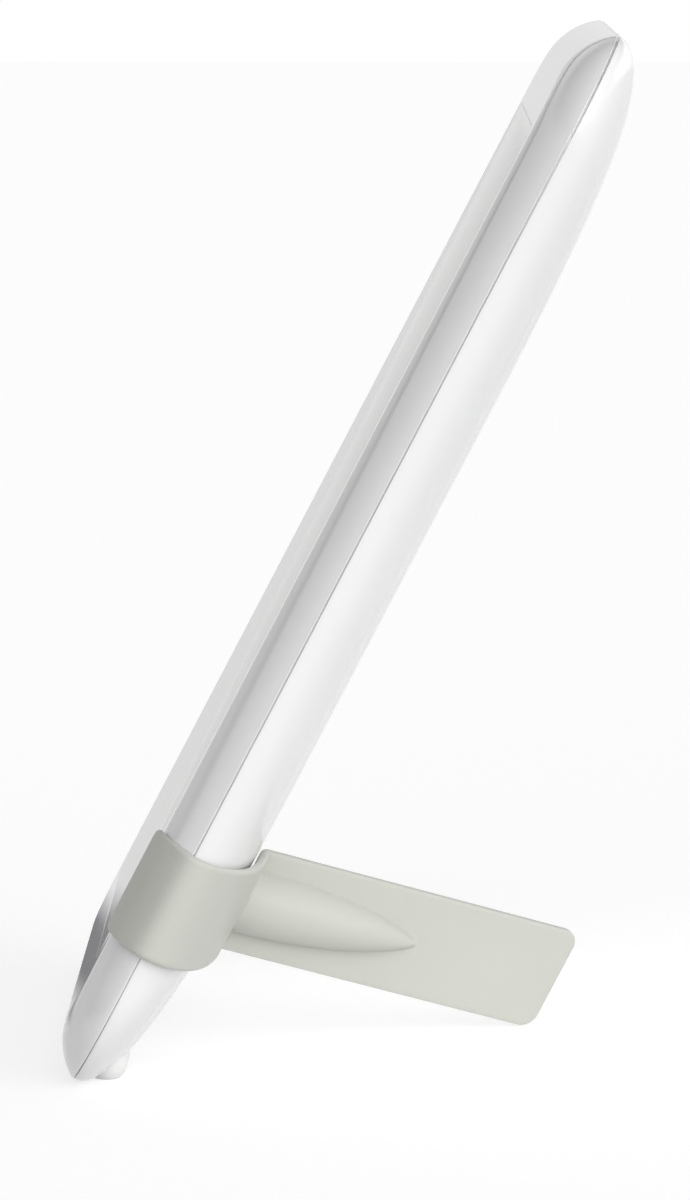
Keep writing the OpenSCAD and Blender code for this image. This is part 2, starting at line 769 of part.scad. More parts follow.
// Half a cone on the leg's outer side, which stiffens the bend
module leg_cone() {
    slope = atan(leg_rise / strip_run);
    root_s = clip_bottom + stand_h / 2 + leg_rise * bend_run / strip_run;
    difference() {
        translate([bend_end[0], root_s, bend_end[1]]) rotate([0, 90 - leg_heading, 0])
            difference() {
                rotate([-slope, 0, 0]) {
                    rotate_extrude() polygon(concat([[0, 0]], [for (k = [0 : ROLL_STEPS])
                        let (f = sin(90 * k / ROLL_STEPS))
                        [cone_r * pow(max(0, 1 - f * f), cone_power), f * cone_l]]));
                    translate([0, 0, -cone_back]) cylinder(r = cone_r, h = cone_back);
                }
                block([far, far, far], [(far + stand_wall) / 2, 0, 0]);
            }
        rotate([90, 0, 0]) linear_extrude(far, center = true)
            polygon(concat(
                [for (k = [0 : ROLL_STEPS]) clip_rear(cone_clear, 90 * k / ROLL_STEPS)],
                [[-far, -rear_h], [-far, far], [far, far], [far, 0]]));
    }
}

front_frame();
rear_shell();
diffuser();
diffuser_gasket();
diffusing_film();
light_guide();
reflector_sheet();
optics_frame();
back_plate();
led_strip(-1);  // led_strip_left
led_strip(1);  // led_strip_right
leds(-1);  // leds_left
leds(1);  // leds_right
plate_screws();
board_standoffs();
driver_board();
board_screws();
driver_chips();
inductor();
capacitors();
dc_inlet();
inlet_pin();
tact_switch();
switch_plunger();
power_button();
wire_sockets();
led_wires();
case_screws();
foot(-1);  // foot_left
foot(1);  // foot_right
stand();
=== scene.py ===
"""A slim light therapy lamp: glossy white panel, opal screen, greige clip-on stand.

Every surface is worked out in the panel's own coordinates, in millimetres: x across the
panel, s up along it, t out of its front, with t = 0 at the joint between the shells.
in_frame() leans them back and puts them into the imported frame, in metres.
"""
import math

import bmesh
import bpy
import numpy as np
from mathutils import Matrix


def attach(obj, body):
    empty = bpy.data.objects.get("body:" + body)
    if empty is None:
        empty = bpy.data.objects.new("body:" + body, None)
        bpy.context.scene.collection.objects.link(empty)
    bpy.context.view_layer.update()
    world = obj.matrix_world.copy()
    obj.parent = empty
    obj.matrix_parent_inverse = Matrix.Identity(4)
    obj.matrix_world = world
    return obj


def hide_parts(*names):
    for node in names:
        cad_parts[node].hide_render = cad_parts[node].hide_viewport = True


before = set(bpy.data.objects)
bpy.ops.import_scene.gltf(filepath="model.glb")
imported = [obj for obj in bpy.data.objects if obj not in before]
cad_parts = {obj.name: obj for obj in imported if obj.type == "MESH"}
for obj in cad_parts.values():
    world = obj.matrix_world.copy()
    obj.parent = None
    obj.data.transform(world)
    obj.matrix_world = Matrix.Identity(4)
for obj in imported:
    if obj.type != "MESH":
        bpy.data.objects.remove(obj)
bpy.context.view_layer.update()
QUARTER = math.pi / 2

# ---------------------------------------------------------------- the panel in the frame
LEAN = math.radians(62.5)
TO_FRAME = np.array([[1, 0, 0],
                     [0, math.cos(LEAN), math.sin(LEAN)],
                     [0, -math.sin(LEAN), math.cos(LEAN)]])


def leaned_box(node):
    """A CAD node's lowest and highest corner along the panel's axes, in millimetres."""
    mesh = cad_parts[node].data
    points = np.empty(len(mesh.vertices) * 3)
    mesh.vertices.foreach_get("co", points)
    points = 1000 * points.reshape(-1, 3) @ TO_FRAME.T
    return np.array([points.min(0), points.max(0)])


# The middle of the joint between the shells, where the panel's coordinates start
_low, _high = leaned_box("front_frame")
ORIGIN = np.array([(_low[0] + _high[0]) / 2, (_low[1] + _high[1]) / 2, _low[2]])
ORIGIN_UP = (ORIGIN @ TO_FRAME)[2]


def panel_box(node):
    """A CAD node's lowest and highest corner in panel coordinates, to the hundredth."""
    return (leaned_box(node) - ORIGIN).round(2)


def in_frame(points):
    """Panel coordinates to frame coordinates: moved, turned by LEAN about X, in metres."""
    return (np.asarray(points) + ORIGIN) @ TO_FRAME / 1000


# ---------------------------------------------------------------- sizes, in millimetres
HALF_W, HALF_L, FRONT_H = panel_box("front_frame")[1]
REAR_H = -panel_box("rear_shell")[0, 2]
CORNER_R = 22.7
FRONT_ROLL, FRONT_POWER = 12.3, 1.575
REAR_ROLL, REAR_POWER, REAR_FALL = 72.0, 0.98, 0.65
# The back's corners get rounder by this share of the inset, but leave REAR_FIELD straight
REAR_ROUNDING, REAR_FIELD = 0.24, 0.5
FRONT_WALL, REAR_WALL = 2.0, 2.2
# Inside, the border's roll is smaller than outside by this share of the wall
INNER_ROLL_LESS = 0.9

# The joint: half its width at the feet, how much more it opens and between which heights,
# its depth, and the insets and lifts of its softened edges
SEAM_HALF = 0.05
SEAM_OPENS = [(0.07, -95, -50), (0.12, 62, 102)]
SEAM_DEEP = 0.9
SEAM_EDGES = [(0, 0.17), (0.04, 0.05), (0.15, 0)]
SEAM_FRONT_INSET = 0.1
# The profiles start this far from the joint, clear of its edges
SEAM_CLEAR = 0.5

# The screen is flush and its joint finer than the CAD's, as the photograph shows no line
SCREEN_X, SCREEN_S, SCREEN_R = HALF_W - 16, HALF_L - 23.5, 8.0
SCREEN_GAP, SCREEN_EDGE_R = 0.06, 0.04
FLANGE_X, FLANGE_S = panel_box("diffuser")[1, :2]
FLANGE_BACK = panel_box("diffuser")[0, 2]
FLANGE_FRONT = panel_box("diffuser_gasket")[0, 2]
FLANGE_R = 4.6

# The feet: two short bars along the bottom edge
FOOT_R, FOOT_L = 4.2, 16.0
FOOT_X = panel_box("foot_right").mean(0)[0]
FOOT_S, FOOT_T = -(HALF_L - 5.8), -4.6

# The stand: a strip of one height that clips round the long edge and ends in the leg
STAND_H = 22.8
CLIP_LOW = -HALF_L + 32
CLIP_GAP, ARM_GAP = 0.3, 0.2
STAND_WALL, LIP_H = 2.0, 1.2
LIP_REACH, LIP_R = 14.0, 5.0
ARM_REACH = 49.6
BEND_R = 1.5
LEG_L, LEG_R = 73.2, 3.5
LEG_HEADING = math.radians(-90 - 24.9)
# Roundings of the strip's edges, as shares of its wall, and how thin its ends may get
STRIP_EDGE, STRIP_THIN = 0.48, 0.42
CONE_R, CONE_L, CONE_POWER = 6.9, 39.0, 0.68
# The cone melts into the leg over about CONE_MELT. It lifts only this share of the wall, past
# this place on the leg's axis, and nothing that stands CONE_CLEAR above it, within CONE_FADE
CONE_MELT, CONE_SHARE, CONE_FROM = 0.35, 0.3, -25
CONE_CLEAR, CONE_FADE = 3, 2
# The rib stands at this share of the arm, and narrows to this share of itself at its ends
RIB_W, RIB_SHARE, RIB_POINT = 1.0, 0.8, 0.05

# The back's controls: the inlet, the button as far on the other side, and the case screws
CONTROL_X, CONTROL_S = panel_box("inlet_pin").mean(0)[:2]
BUTTON_R, BUTTON_PROUD = 6.0, 0.7
BUTTON_RIM, BUTTON_DISH = 0.6, 0.35
# The dish is turned from a pinhole, which is capped, to just short of the rim
DISH_FROM, DISH_SHORT = 0.05, 0.1
BUTTON_FLANGE, BUTTON_FLANGE_H, BUTTON_PLAY = 1.2, 1.0, 0.3
STEM_R, STEM_L = 1.7, 0.6
HOLE_ROOM, HOLE_FLARE = 0.2, 0.35
INLET_HOLE_R = 4.2
SCREW_X, SCREW_S = 34.0, HALF_L - 11.5
SCREW_R, WELL_R, WELL_OUTER_R = 1.3, 2.7, 3.6
WELL_SEAT, WELL_FRONT = -4.2, -1.0
WELLS = [(sx * SCREW_X, sy * SCREW_S) for sx in (-1, 1) for sy in (-1, 1)]
# Cutters for holes reach from inside the back to well behind it, and wider than the flare
CUT_FROM, CUT_TO, CUT_WIDER = -3.0, -20.0, 0.3


# ---------------------------------------------------------------- profiles
def front_profile(roll, grow=0):
    """The front shell's inset and depth over its roll angle, grown outwards:
    inset = (W + g)(1 - cos a) - g, depth = (H + g) sin(a)^p."""
    inset = (FRONT_ROLL + grow) * (1 - np.cos(roll)) - grow
    return inset, (FRONT_H + grow) * np.sin(roll) ** FRONT_POWER


def rear_profile(roll, grow=0):
    """The rear shell's inset and depth over its roll angle, grown outwards:
    inset = (W + g)(1 - cos(a)^b) - g, depth = -(H + g) sin(a)^p."""
    fall = np.maximum(np.cos(roll), 0) ** REAR_FALL
    inset = (REAR_ROLL + grow) * (1 - fall) - grow
    return inset, -(REAR_H + grow) * np.sin(roll) ** REAR_POWER


def rear_depth_at(inset, grow=0):
    """Depth of the back at an inset: the profile solved for it,
    (H + g)(1 - (1 - (inset + g) / (W + g))^(2 / b))^(p / 2)."""
    left = 1 - np.minimum(inset + grow, REAR_ROLL + grow) / (REAR_ROLL + grow)
    return (REAR_H + grow) * (1 - left ** (2 / REAR_FALL)) ** (REAR_POWER / 2)


def section(profile):
    """An inset and a depth as the point (x, t) on the panel's section."""
    return np.stack([HALF_W - profile[0], profile[1]], -1)


CONTROL_IN = min(HALF_W - CONTROL_X, HALF_L + CONTROL_S)
CONTROL_OUT = rear_depth_at(CONTROL_IN)
CONTROL_ROOF = rear_depth_at(CONTROL_IN, -REAR_WALL)

# ---------------------------------------------------------------- meshes
CORNER_STEPS = 24
SIDE_STEPS = 20
ROUND_STEPS, WELL_STEPS = 64, 48
LEG_STEP = 0.6
# Angle left open at the end of a ball, to be capped
POLE = 0.03
SHARP_ANGLE = math.radians(35)
WELD = 1e-7


def rings(a, b, r, t):
    """Rounded rectangles of half sizes a and b and corners r, one for each height t: rows of
    points, anticlockwise, over four corner arcs and the divided sides between them."""
    a, b, r, t = (value[:, None] for value in np.broadcast_arrays(*np.atleast_1d(a, b, r, t)))
    angle = np.linspace(0, QUARTER, CORNER_STEPS + 1)
    corners = []
    for turn, (sx, sy) in enumerate([(1, 1), (-1, 1), (-1, -1), (1, -1)]):
        across = sx * (a - r) + r * np.cos(angle + turn * QUARTER)
        up = sy * (b - r) + r * np.sin(angle + turn * QUARTER)
        corners.append(np.stack([across, up], -1))
    share = np.linspace(0, 1, SIDE_STEPS + 2)[1:-1, None]
    parts = []
    for corner, following in zip(corners, corners[1:] + corners[:1]):
        side = following[:, :1] - corner[:, -1:]
        parts += [corner, corner[:, -1:] + share * side]
    flat = np.concatenate(parts, 1)
    return np.concatenate([flat, np.broadcast_to(t[..., None], (*flat.shape[:2], 1))], -1)


def front_rings(inset, t):
    """The front shell's outline at each inset and height."""
    return rings(HALF_W - inset, HALF_L - inset, CORNER_R - inset, t)


def rear_rings(inset, t):
    """The rear shell's outline, rounder towards the middle of the back."""
    radius = np.minimum(CORNER_R + REAR_ROUNDING * inset, HALF_W - inset - REAR_FIELD)
    return rings(HALF_W - inset, HALF_L - inset, radius, t)


def skin(rows, closed=False):
    """Vertices and faces of a surface over rows of points: quads between neighbours, with
    columns that wrap round. Its ends are capped, or joined to each other if closed."""
    count, columns = rows.shape[:2]
    i = np.arange(count if closed else count - 1)[:, None]
    j = np.arange(columns)
    after, beside = (i + 1) % count, (j + 1) % columns
    quads = np.stack([i * columns + j, i * columns + beside,
                      after * columns + beside, after * columns + j], -1)
    faces = quads.reshape(-1, 4).tolist()
    if not closed:
        faces += [j.tolist(), (j + (count - 1) * columns).tolist()]
    return rows.reshape(-1, 3), faces


def lathe(profile, x, s, steps=ROUND_STEPS):
    """Rows of a profile of (radius, t) turned round the line through (x, s) along t."""
    angle = np.linspace(0, 2 * math.pi, steps, endpoint=False)
    radius, t = np.asarray(profile).T[..., None]
    return np.stack([x + radius * np.cos(angle), s + radius * np.sin(angle), t + 0 * angle], -1)


def joined(*parts):
    """Several (vertices, faces) pairs as one."""
    vertices, faces, first = [], [], 0
    for points, own in parts:
        vertices.append(points)
        faces += [[first + corner for corner in face] for face in own]
        first += len(points)
    return np.concatenate(vertices), faces


def make_piece(name, part, material, leaned=True):
    """A mesh object from (vertices, faces), with outward normals, smooth up to SHARP_ANGLE."""
    points, faces = part
    mesh = bpy.data.meshes.new(name)
    mesh.from_pydata((in_frame(points) if leaned else points).tolist(), [], faces)
    work = bmesh.new()
    work.from_mesh(mesh)
    bmesh.ops.remove_doubles(work, verts=work.verts, dist=WELD)
    bmesh.ops.recalc_face_normals(work, faces=work.faces)
    work.to_mesh(mesh)
    work.free()
    mesh.shade_smooth()
    mesh.set_sharp_from_angle(angle=SHARP_ANGLE)
    mesh.materials.append(material)
    piece = bpy.data.objects.new(name, mesh)
    bpy.context.scene.collection.objects.link(piece)
    return piece


def arc(centre, radius, start, end, steps=6):
    """Points (u, v) on an arc, angles in degrees."""
    angle = np.radians(np.linspace(start, end, steps + 1))
    return np.stack([centre[0] + radius * np.cos(angle), centre[1] + radius * np.sin(angle)], -1)


# ---------------------------------------------------------------- materials
DRIFT_MM = 40
LINE_DEPTH_MM = 0.003


def linear(code):
    """An sRGB hex colour as linear RGBA."""
    value = np.array([int(code[k:k + 2], 16) for k in (1, 3, 5)]) / 255
    value = np.where(value <= 0.04045, value / 12.92, ((value + 0.055) / 1.055) ** 2.4)
    return (*value.tolist(), 1.0)


def add(tree, kind, values=None, links=None, stops=(), **settings):
    """Adds a node, sets its properties, inputs and colour stops, and links its inputs to
    other sockets. A stop is a position and a colour's hex code."""
    node = tree.nodes.new(kind)
    for key, value in settings.items():
        setattr(node, key, value)
    for key, value in (values or {}).items():
        node.inputs[key].default_value = value
    for key, socket in (links or {}).items():
        tree.links.new(socket, node.inputs[key])
    for k, (position, code) in enumerate(stops):
        stop = node.color_ramp.elements[k]
        stop.position, stop.color = position, linear(code)
    return node


def new_material(name, **constants):
    """A new material: its node tree, its shader with these constants, and the place in
    metres on the object that every pattern is drawn from."""
    material = bpy.data.materials.new(name)
    material.use_nodes = True
    tree = material.node_tree
    shader = tree.nodes["Principled BSDF"]
    for key, value in constants.items():
        shader.inputs[key.replace("_", " ")].default_value = value
    place = add(tree, "ShaderNodeTexCoord").outputs["Object"]
    return material, tree, shader, place


def dress(tree, shader, tone, height, low, high, depth_mm, lowest=0.3, highest=0.7):
    """Colours the shader from low to high over one pattern, and raises it by another."""
    colour = add(tree, "ShaderNodeValToRGB", links={"Fac": tone}, stops=[(lowest, low), (highest, high)])
    tree.links.new(colour.outputs["Color"], shader.inputs["Base Color"])
    bump = add(tree, "ShaderNodeBump", {"Strength": 1.0, "Distance": depth_mm / 1000}, {"Height": height})
    tree.links.new(bump.outputs["Normal"], shader.inputs["Normal"])


def moulded(name, low, high, grain_mm, depth_mm, **constants):
    """Moulded plastic: the tone drifts between two near colours over DRIFT_MM, as the melt
    cools unevenly, and the mould's finish is a grain of this size and depth."""
    material, tree, shader, place = new_material(name, **constants)
    drift = add(tree, "ShaderNodeTexNoise", {"Scale": 1000 / DRIFT_MM, "Detail": 2.0},
                {"Vector": place})
    grain = add(tree, "ShaderNodeTexNoise", {"Scale": 1000 / grain_mm, "Detail": 1.0},
                {"Vector": place})
    dress(tree, shader, drift.outputs["Fac"], grain.outputs["Fac"], low, high, depth_mm)
    return material


def metal(name, low, high, grain_mm, stretch, **constants):
    """Bare metal: lines of this grain, drawn out by the stretch along x, as rolling or
    turning leaves them, between two near tones."""
    material, tree, shader, place = new_material(name, Metallic=1.0, **constants)
    drawn = add(tree, "ShaderNodeVectorMath", {1: (1 / stretch, 1.0, 1.0)}, {0: place},
                operation="MULTIPLY")
    lines = add(tree, "ShaderNodeTexNoise", {"Scale": 1000 / grain_mm, "Detail": 3.0},
                {"Vector": drawn.outputs["Vector"]}).outputs["Fac"]
    dress(tree, shader, lines, lines, low, high, LINE_DEPTH_MM)
    return material


def cells(name, low, high, cell_mm, depth_mm, **constants):
    """A surface of small round cells: foam, or the printed dots of a light guide."""
    material, tree, shader, place = new_material(name, **constants)
    cell = add(tree, "ShaderNodeTexVoronoi", {"Scale": 1000 / cell_mm}, {"Vector": place})
    wall = cell.outputs["Distance"]
    dress(tree, shader, wall, wall, low, high, depth_mm, 0.1, 0.6)
    return material


# High-gloss white ABS: sharp reflections, with the slight orange peel of a polished mould.
GLOSS = moulded("glossy_white_abs", "#F1F1F2", "#F3F3F4", 4.0, 0.0004, Roughness=0.08, IOR=1.53)
# Opal acrylic: as smooth as the shell, a little warmer and deeper white.
OPAL = moulded("opal_acrylic", "#F1F1EE", "#F3F3F0", 5.0, 0.0004, Roughness=0.1, IOR=1.49)
# Greige polypropylene with a fine spark-eroded grain: broad, soft highlights.
GREIGE = moulded("greige_satin_polypropylene", "#C9CAC2", "#CCCDC5", 0.35, 0.0012, Roughness=0.42, IOR=1.49)
# Soft white elastomer: dull, with a faint tooth that keeps it from sliding.
SOFT_WHITE = moulded("white_elastomer", "#EFEFEE", "#F2F2F1", 0.5, 0.001, Roughness=0.3, IOR=1.5)
# Light grey satin ABS, which sets the button off from the shell.
BUTTON_GREY = moulded("light_grey_satin_abs", "#C9CACB", "#CCCDCE", 0.4, 0.001, Roughness=0.35, IOR=1.53)
# Unfilled white polycarbonate: plain and semi-matt.
WHITE_PC = moulded("white_polycarbonate", "#E4E4DF", "#E8E8E3", 0.6, 0.001, Roughness=0.45, IOR=1.58)
# Polyester film: milky, with a soft even sheen.
FILM = moulded("milky_polyester_film", "#F0F0F0", "#F4F4F4", 0.2, 0.0005, Roughness=0.5, IOR=1.6)
# White solder mask: slightly glossy over the weave of the board.
WHITE_MASK = moulded("white_solder_mask", "#EEEEEA", "#F2F2EE", 0.5, 0.002, Roughness=0.3, IOR=1.55)
# Green solder mask: darker over the bare laminate, lighter over the copper.
GREEN_MASK = moulded("green_solder_mask", "#1F5A3A", "#2A6E48", 1.2, 0.003, Roughness=0.3, IOR=1.55)
# Yellow phosphor under clear silicone: grainy and waxy.
PHOSPHOR = moulded("yellow_phosphor", "#E8D27A", "#F0DC8C", 0.15, 0.002, Roughness=0.25, IOR=1.41)
# Black epoxy of chips: fine matt texture.
EPOXY = moulded("black_moulding_epoxy", "#202022", "#29292B", 0.12, 0.003, Roughness=0.6, IOR=1.55)
# Black glass-filled PBT of the inlet: semi-matt with short flow marks.
BLACK_PBT = moulded("black_glass_filled_pbt", "#1C1C1D", "#242425", 0.3, 0.003, Roughness=0.45, IOR=1.57)
# Sintered ferrite: dark grey and chalky.
FERRITE = moulded("sintered_ferrite", "#3A3A3C", "#48484A", 0.2, 0.006, Roughness=0.75, IOR=1.6)
# Red PVC insulation: smooth and slightly waxy.
RED_PVC = moulded("red_pvc_insulation", "#A8201A", "#B82820", 0.8, 0.001, Roughness=0.35, IOR=1.53)
# Closed-cell foam: small dark cells.
FOAM = cells("dark_grey_closed_cell_foam", "#3A3A3C", "#4A4A4D", 0.4, 0.05, Roughness=0.9)
# Clear acrylic light guide with rows of fine dots that let the light out.
ACRYLIC = cells("clear_acrylic_with_dots", "#F4FAF9", "#FFFFFF", 1.2, 0.002, Roughness=0.05, IOR=1.49,
                Transmission_Weight=1.0)
# Rolled aluminium sheet: long faint rolling lines.
ALUMINIUM = metal("rolled_aluminium_sheet", "#C2C4C6", "#CDCFD1", 0.5, 12, Roughness=0.35)
# Drawn aluminium can: nearly even, a little brighter.
CAN = metal("drawn_aluminium_can", "#C8CACC", "#D2D4D6", 0.3, 3, Roughness=0.25)
# Zinc-plated steel: bright grey with a soft cloud.
ZINC = metal("zinc_plated_steel", "#A8AAAC", "#B6B8BA", 0.6, 1, Roughness=0.3)
# Turned brass: yellow, with fine turning lines.
BRASS = metal("turned_brass", "#BF9A4E", "#CDA85C", 0.15, 6, Roughness=0.25)

CARRIED_OVER = {
    FOAM: ["diffuser_gasket"],
    FILM: ["diffusing_film", "reflector_sheet"],
    ACRYLIC: ["light_guide"],
    WHITE_PC: ["optics_frame", "wire_sockets"],
    ALUMINIUM: ["back_plate"],
    WHITE_MASK: ["led_strip_left", "led_strip_right"],
    PHOSPHOR: ["leds_left", "leds_right"],
    ZINC: ["plate_screws", "board_screws", "case_screws"],
    BRASS: ["board_standoffs", "inlet_pin"],
    GREEN_MASK: ["driver_board"],
    EPOXY: ["driver_chips", "tact_switch", "switch_plunger"],
    FERRITE: ["inductor"],
    CAN: ["capacitors"],
    BLACK_PBT: ["dc_inlet"],
    RED_PVC: ["led_wires"],
}
for material, names in CARRIED_OVER.items():
    for name in names:
        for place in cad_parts[name].material_slots:
            place.material = material


# ---------------------------------------------------------------- shells and screen
def smooth(value, start, end):
    """Smoothstep 3f^2 - 2f^3, where f runs from 0 at start to 1 at end."""
    f = np.clip((value - start) / (end - start), 0, 1)
    return f * f * (3 - 2 * f)


def seam_rim(make_rings, inset, side):
    """The joint's groove in one shell: its softened edge, its wall and its floor.

    Half its width is SEAM_HALF + the sum of each opening times smooth(s): it closes towards
    the feet and opens a little towards the top."""
    edges = [(inset + more, lift) for more, lift in SEAM_EDGES] + [(SEAM_DEEP, 0)]
    insets, lifts = np.array(edges).T
    rows = make_rings(insets, 0)
    s = make_rings(0, 0)[..., 1]
    half = SEAM_HALF + sum(more * smooth(s, low, high) for more, low, high in SEAM_OPENS)
    rows[..., 2] = side * (half + lifts[:, None])
    return np.concatenate([rows, make_rings(SEAM_DEEP, 0)])


def front_shell():
    """Rolled border: seam groove, roll, flat, screen opening, then the inside back to the rim.

    Each row is the panel's outline at an inset, at the height that the profile gives."""
    inset, depth = front_profile(np.linspace(0, QUARTER, 61))
    roll = front_rings(inset, depth)[depth > SEAM_CLEAR]
    opening = np.array([SCREEN_X, SCREEN_S, SCREEN_R + SCREEN_GAP])
    rolled = np.array([HALF_W, HALF_L, CORNER_R]) - FRONT_ROLL
    share = np.array([[0.3], [0.6], [0.9]])
    flat = rings(*(rolled * (1 - share) + (opening + SCREEN_EDGE_R) * share).T, FRONT_H)
    out, t = arc((SCREEN_EDGE_R, FRONT_H - SCREEN_EDGE_R), SCREEN_EDGE_R, 90, 180).T
    edge = rings(*(opening[:, None] + out), t)
    wall = rings(*opening, FRONT_H - FRONT_WALL)
    angle = np.linspace(QUARTER, 0, 17)
    inner_roll = FRONT_ROLL - INNER_ROLL_LESS * FRONT_WALL
    inside = front_rings(FRONT_WALL + inner_roll * (1 - np.cos(angle)),
                         (FRONT_H - FRONT_WALL) * np.sin(angle) ** FRONT_POWER)
    seam = seam_rim(front_rings, SEAM_FRONT_INSET, 1)[::-1]
    return skin(np.concatenate([seam, roll, flat, edge, wall, inside]), closed=True)


def rear_shell():
    """Pillow back: the outline at each inset and depth of the profile, from the middle
    outwards, then the seam groove and the inner wall."""
    inset, depth = rear_profile(np.linspace(QUARTER, 0, 81))
    back = rear_rings(inset, depth)[depth < -SEAM_CLEAR]
    inside = rear_rings(*rear_profile(np.linspace(0, QUARTER, 25), -REAR_WALL))
    return skin(np.concatenate([back, seam_rim(rear_rings, 0, -1), inside]))


def screen():
    """The diffuser: a flange behind the front shell and a raised field with softened edges."""
    flange = rings(FLANGE_X, FLANGE_S, FLANGE_R, np.array([FLANGE_BACK, FLANGE_FRONT]))
    field = np.array([SCREEN_X - SCREEN_GAP, SCREEN_S - SCREEN_GAP, SCREEN_R])
    out, t = arc((-SCREEN_EDGE_R, FRONT_H - SCREEN_EDGE_R), SCREEN_EDGE_R, 0, 90).T
    return skin(np.concatenate([flange, rings(*field, FLANGE_FRONT), rings(*(field[:, None] + out), t)]))


# ---------------------------------------------------------------- stand
def arm_gap(roll):
    """Gap between clip and panel behind the panel: it swells by half a sine along the arm."""
    return CLIP_GAP + ARM_GAP * np.sin(math.pi * roll / ARM_ROLL)


ARM_ROLL = math.acos((1 - ARM_REACH / REAR_ROLL) ** (1 / REAR_FALL))
_ends = np.array([ARM_ROLL, ARM_ROLL + math.radians(0.5)])
ARM_END, _beyond = section(rear_profile(_ends, arm_gap(_ends) + STAND_WALL))
ARM_HEADING = math.atan2(*(_beyond - ARM_END)[::-1]) % (2 * math.pi)
BEND = LEG_HEADING % (2 * math.pi) - ARM_HEADING
ALONG = np.array([math.cos(LEG_HEADING), math.sin(LEG_HEADING)])
OUTWARD = np.array([-math.sin(LEG_HEADING), math.cos(LEG_HEADING)])


def bend_point(share):
    """Point on the bend's outer side: a circular arc from the arm's end to the leg."""
    angle = ARM_HEADING + share * BEND
    return ARM_END + BEND_R * np.stack([np.sin(angle) - math.sin(ARM_HEADING),
                                        math.cos(ARM_HEADING) - np.cos(angle)], -1)


BEND_END = bend_point(1.0)
# Height of the leg's bottom corner, so that its rounding just meets the table, and from it
# the strip's rise for each millimetre of its run from the end of the clip
_corner = BEND_END + (LEG_L - LEG_R) * ALONG
_corner_s = (-ORIGIN_UP - _corner[1] * math.cos(LEAN)
             + LEG_R * math.hypot(math.sin(LEAN), ALONG[1] * math.cos(LEAN))) / math.sin(LEAN)
RISE = (_corner_s - LEG_R - CLIP_LOW) / (BEND_R * BEND + LEG_L - LEG_R)


def length_along(points):
    """Length of a curve up to each of its points."""
    return np.concatenate([[0], np.cumsum(np.linalg.norm(np.diff(points, axis=0), axis=1))])


def eased(points, joint, reach=2.6, spread=8.0, least=0.01):
    """Points of a curve with its bend at one of them eased: twice the mean less the mean's
    mean, moved back out to the bend's own point. The mean is weighted by exp(-d^2 / 2 r^2)
    over the length d along the curve. Its reach r falls off to the least away from the bend,
    as exp(-(d / spread)^2), and so does the move."""
    length = length_along(points)
    fall = np.exp(-((length - length[joint]) / spread) ** 2)[:, None]
    apart = (length[:, None] - length) / (reach * fall + least)
    weight = np.exp(-apart ** 2 / 2) * np.gradient(length)
    weight /= weight.sum(1, keepdims=True)
    mean = weight @ points
    soft = 2 * mean - weight @ mean
    return soft + (points[joint] - soft[joint]) * fall


def lip():
    """The clip's lip in front of the border. Its height over an inset is the front profile's,
    (H + g)(1 - (1 - (inset + g) / (W + g))^2)^(p / 2), and its corners are quarter rounds."""
    corner = np.linspace(0, QUARTER, 16, endpoint=False)
    inset = LIP_REACH - LIP_R * (1 - np.cos(corner))

    def over_front(grow):
        left = 1 - np.clip((inset + grow) / (FRONT_ROLL + grow), 0, 1)
        return section((inset, (FRONT_H + grow) * (1 - left ** 2) ** (FRONT_POWER / 2)))

    return over_front(CLIP_GAP + LIP_H), over_front(CLIP_GAP), 0 * corner, LIP_R * (1 - np.sin(corner))


def round_edge():
    """The clip over the border's roll, on the profile grown by the gap and the wall, which
    grows itself from the lip's to the stand's."""
    roll = np.linspace(math.acos(1 - (LIP_REACH - LIP_R) / FRONT_ROLL), 0, 44)
    grow = CLIP_GAP + LIP_H + (STAND_WALL - LIP_H) * (1 - np.sin(roll))
    outer, inner = front_profile(roll, grow), front_profile(roll, CLIP_GAP)
    return section(outer), section(inner), 0 * roll, 0 * roll


def arm():
    """The clip's arm behind the panel, on the back's profile grown by the gap and the wall."""
    roll = np.linspace(0, ARM_ROLL, 81)[1:]
    gap = arm_gap(roll)
    outer, inner = rear_profile(roll, gap + STAND_WALL), rear_profile(roll, gap)
    return section(outer), section(inner), 0 * roll, 0 * roll


def bend():
    """The bend from the arm to the leg: two arcs round one centre, a wall apart."""
    share = np.linspace(0, 1, 13)[1:]
    angle = ARM_HEADING + share * BEND
    outer = bend_point(share)
    inner = outer + STAND_WALL * np.stack([np.sin(angle), -np.cos(angle)], -1)
    return outer, inner, share * BEND_R * BEND, 0 * share


def leg():
    """The straight leg. Its round corners take R - sqrt(R^2 - past^2) off its height."""
    straight = np.arange(LEG_STEP, LEG_L - LEG_R, LEG_STEP)
    corner = LEG_L - LEG_R * (1 - np.sin(np.linspace(0, QUARTER, 13)))
    along = np.concatenate([straight, corner])
    past = np.maximum(0, along - (LEG_L - LEG_R))
    outer = BEND_END + along[:, None] * ALONG
    return (outer, outer - STAND_WALL * OUTWARD, BEND_R * BEND + along,
            LEG_R - np.sqrt(np.maximum(0, LEG_R ** 2 - past ** 2)))


def strip_path():
    """The stand's strip over its length, and so each of its stretches: outer and inner points
    on the panel's section, the run that the rise counts, and what the corners cut off its
    height at either side."""
    stretches = [lip(), round_edge(), arm(), bend(), leg()]
    outer, inner, run, cut = (np.concatenate(part) for part in zip(*stretches))
    joint = sum(len(stretch[0]) for stretch in stretches[:2])
    return eased(outer, joint), inner, run, cut


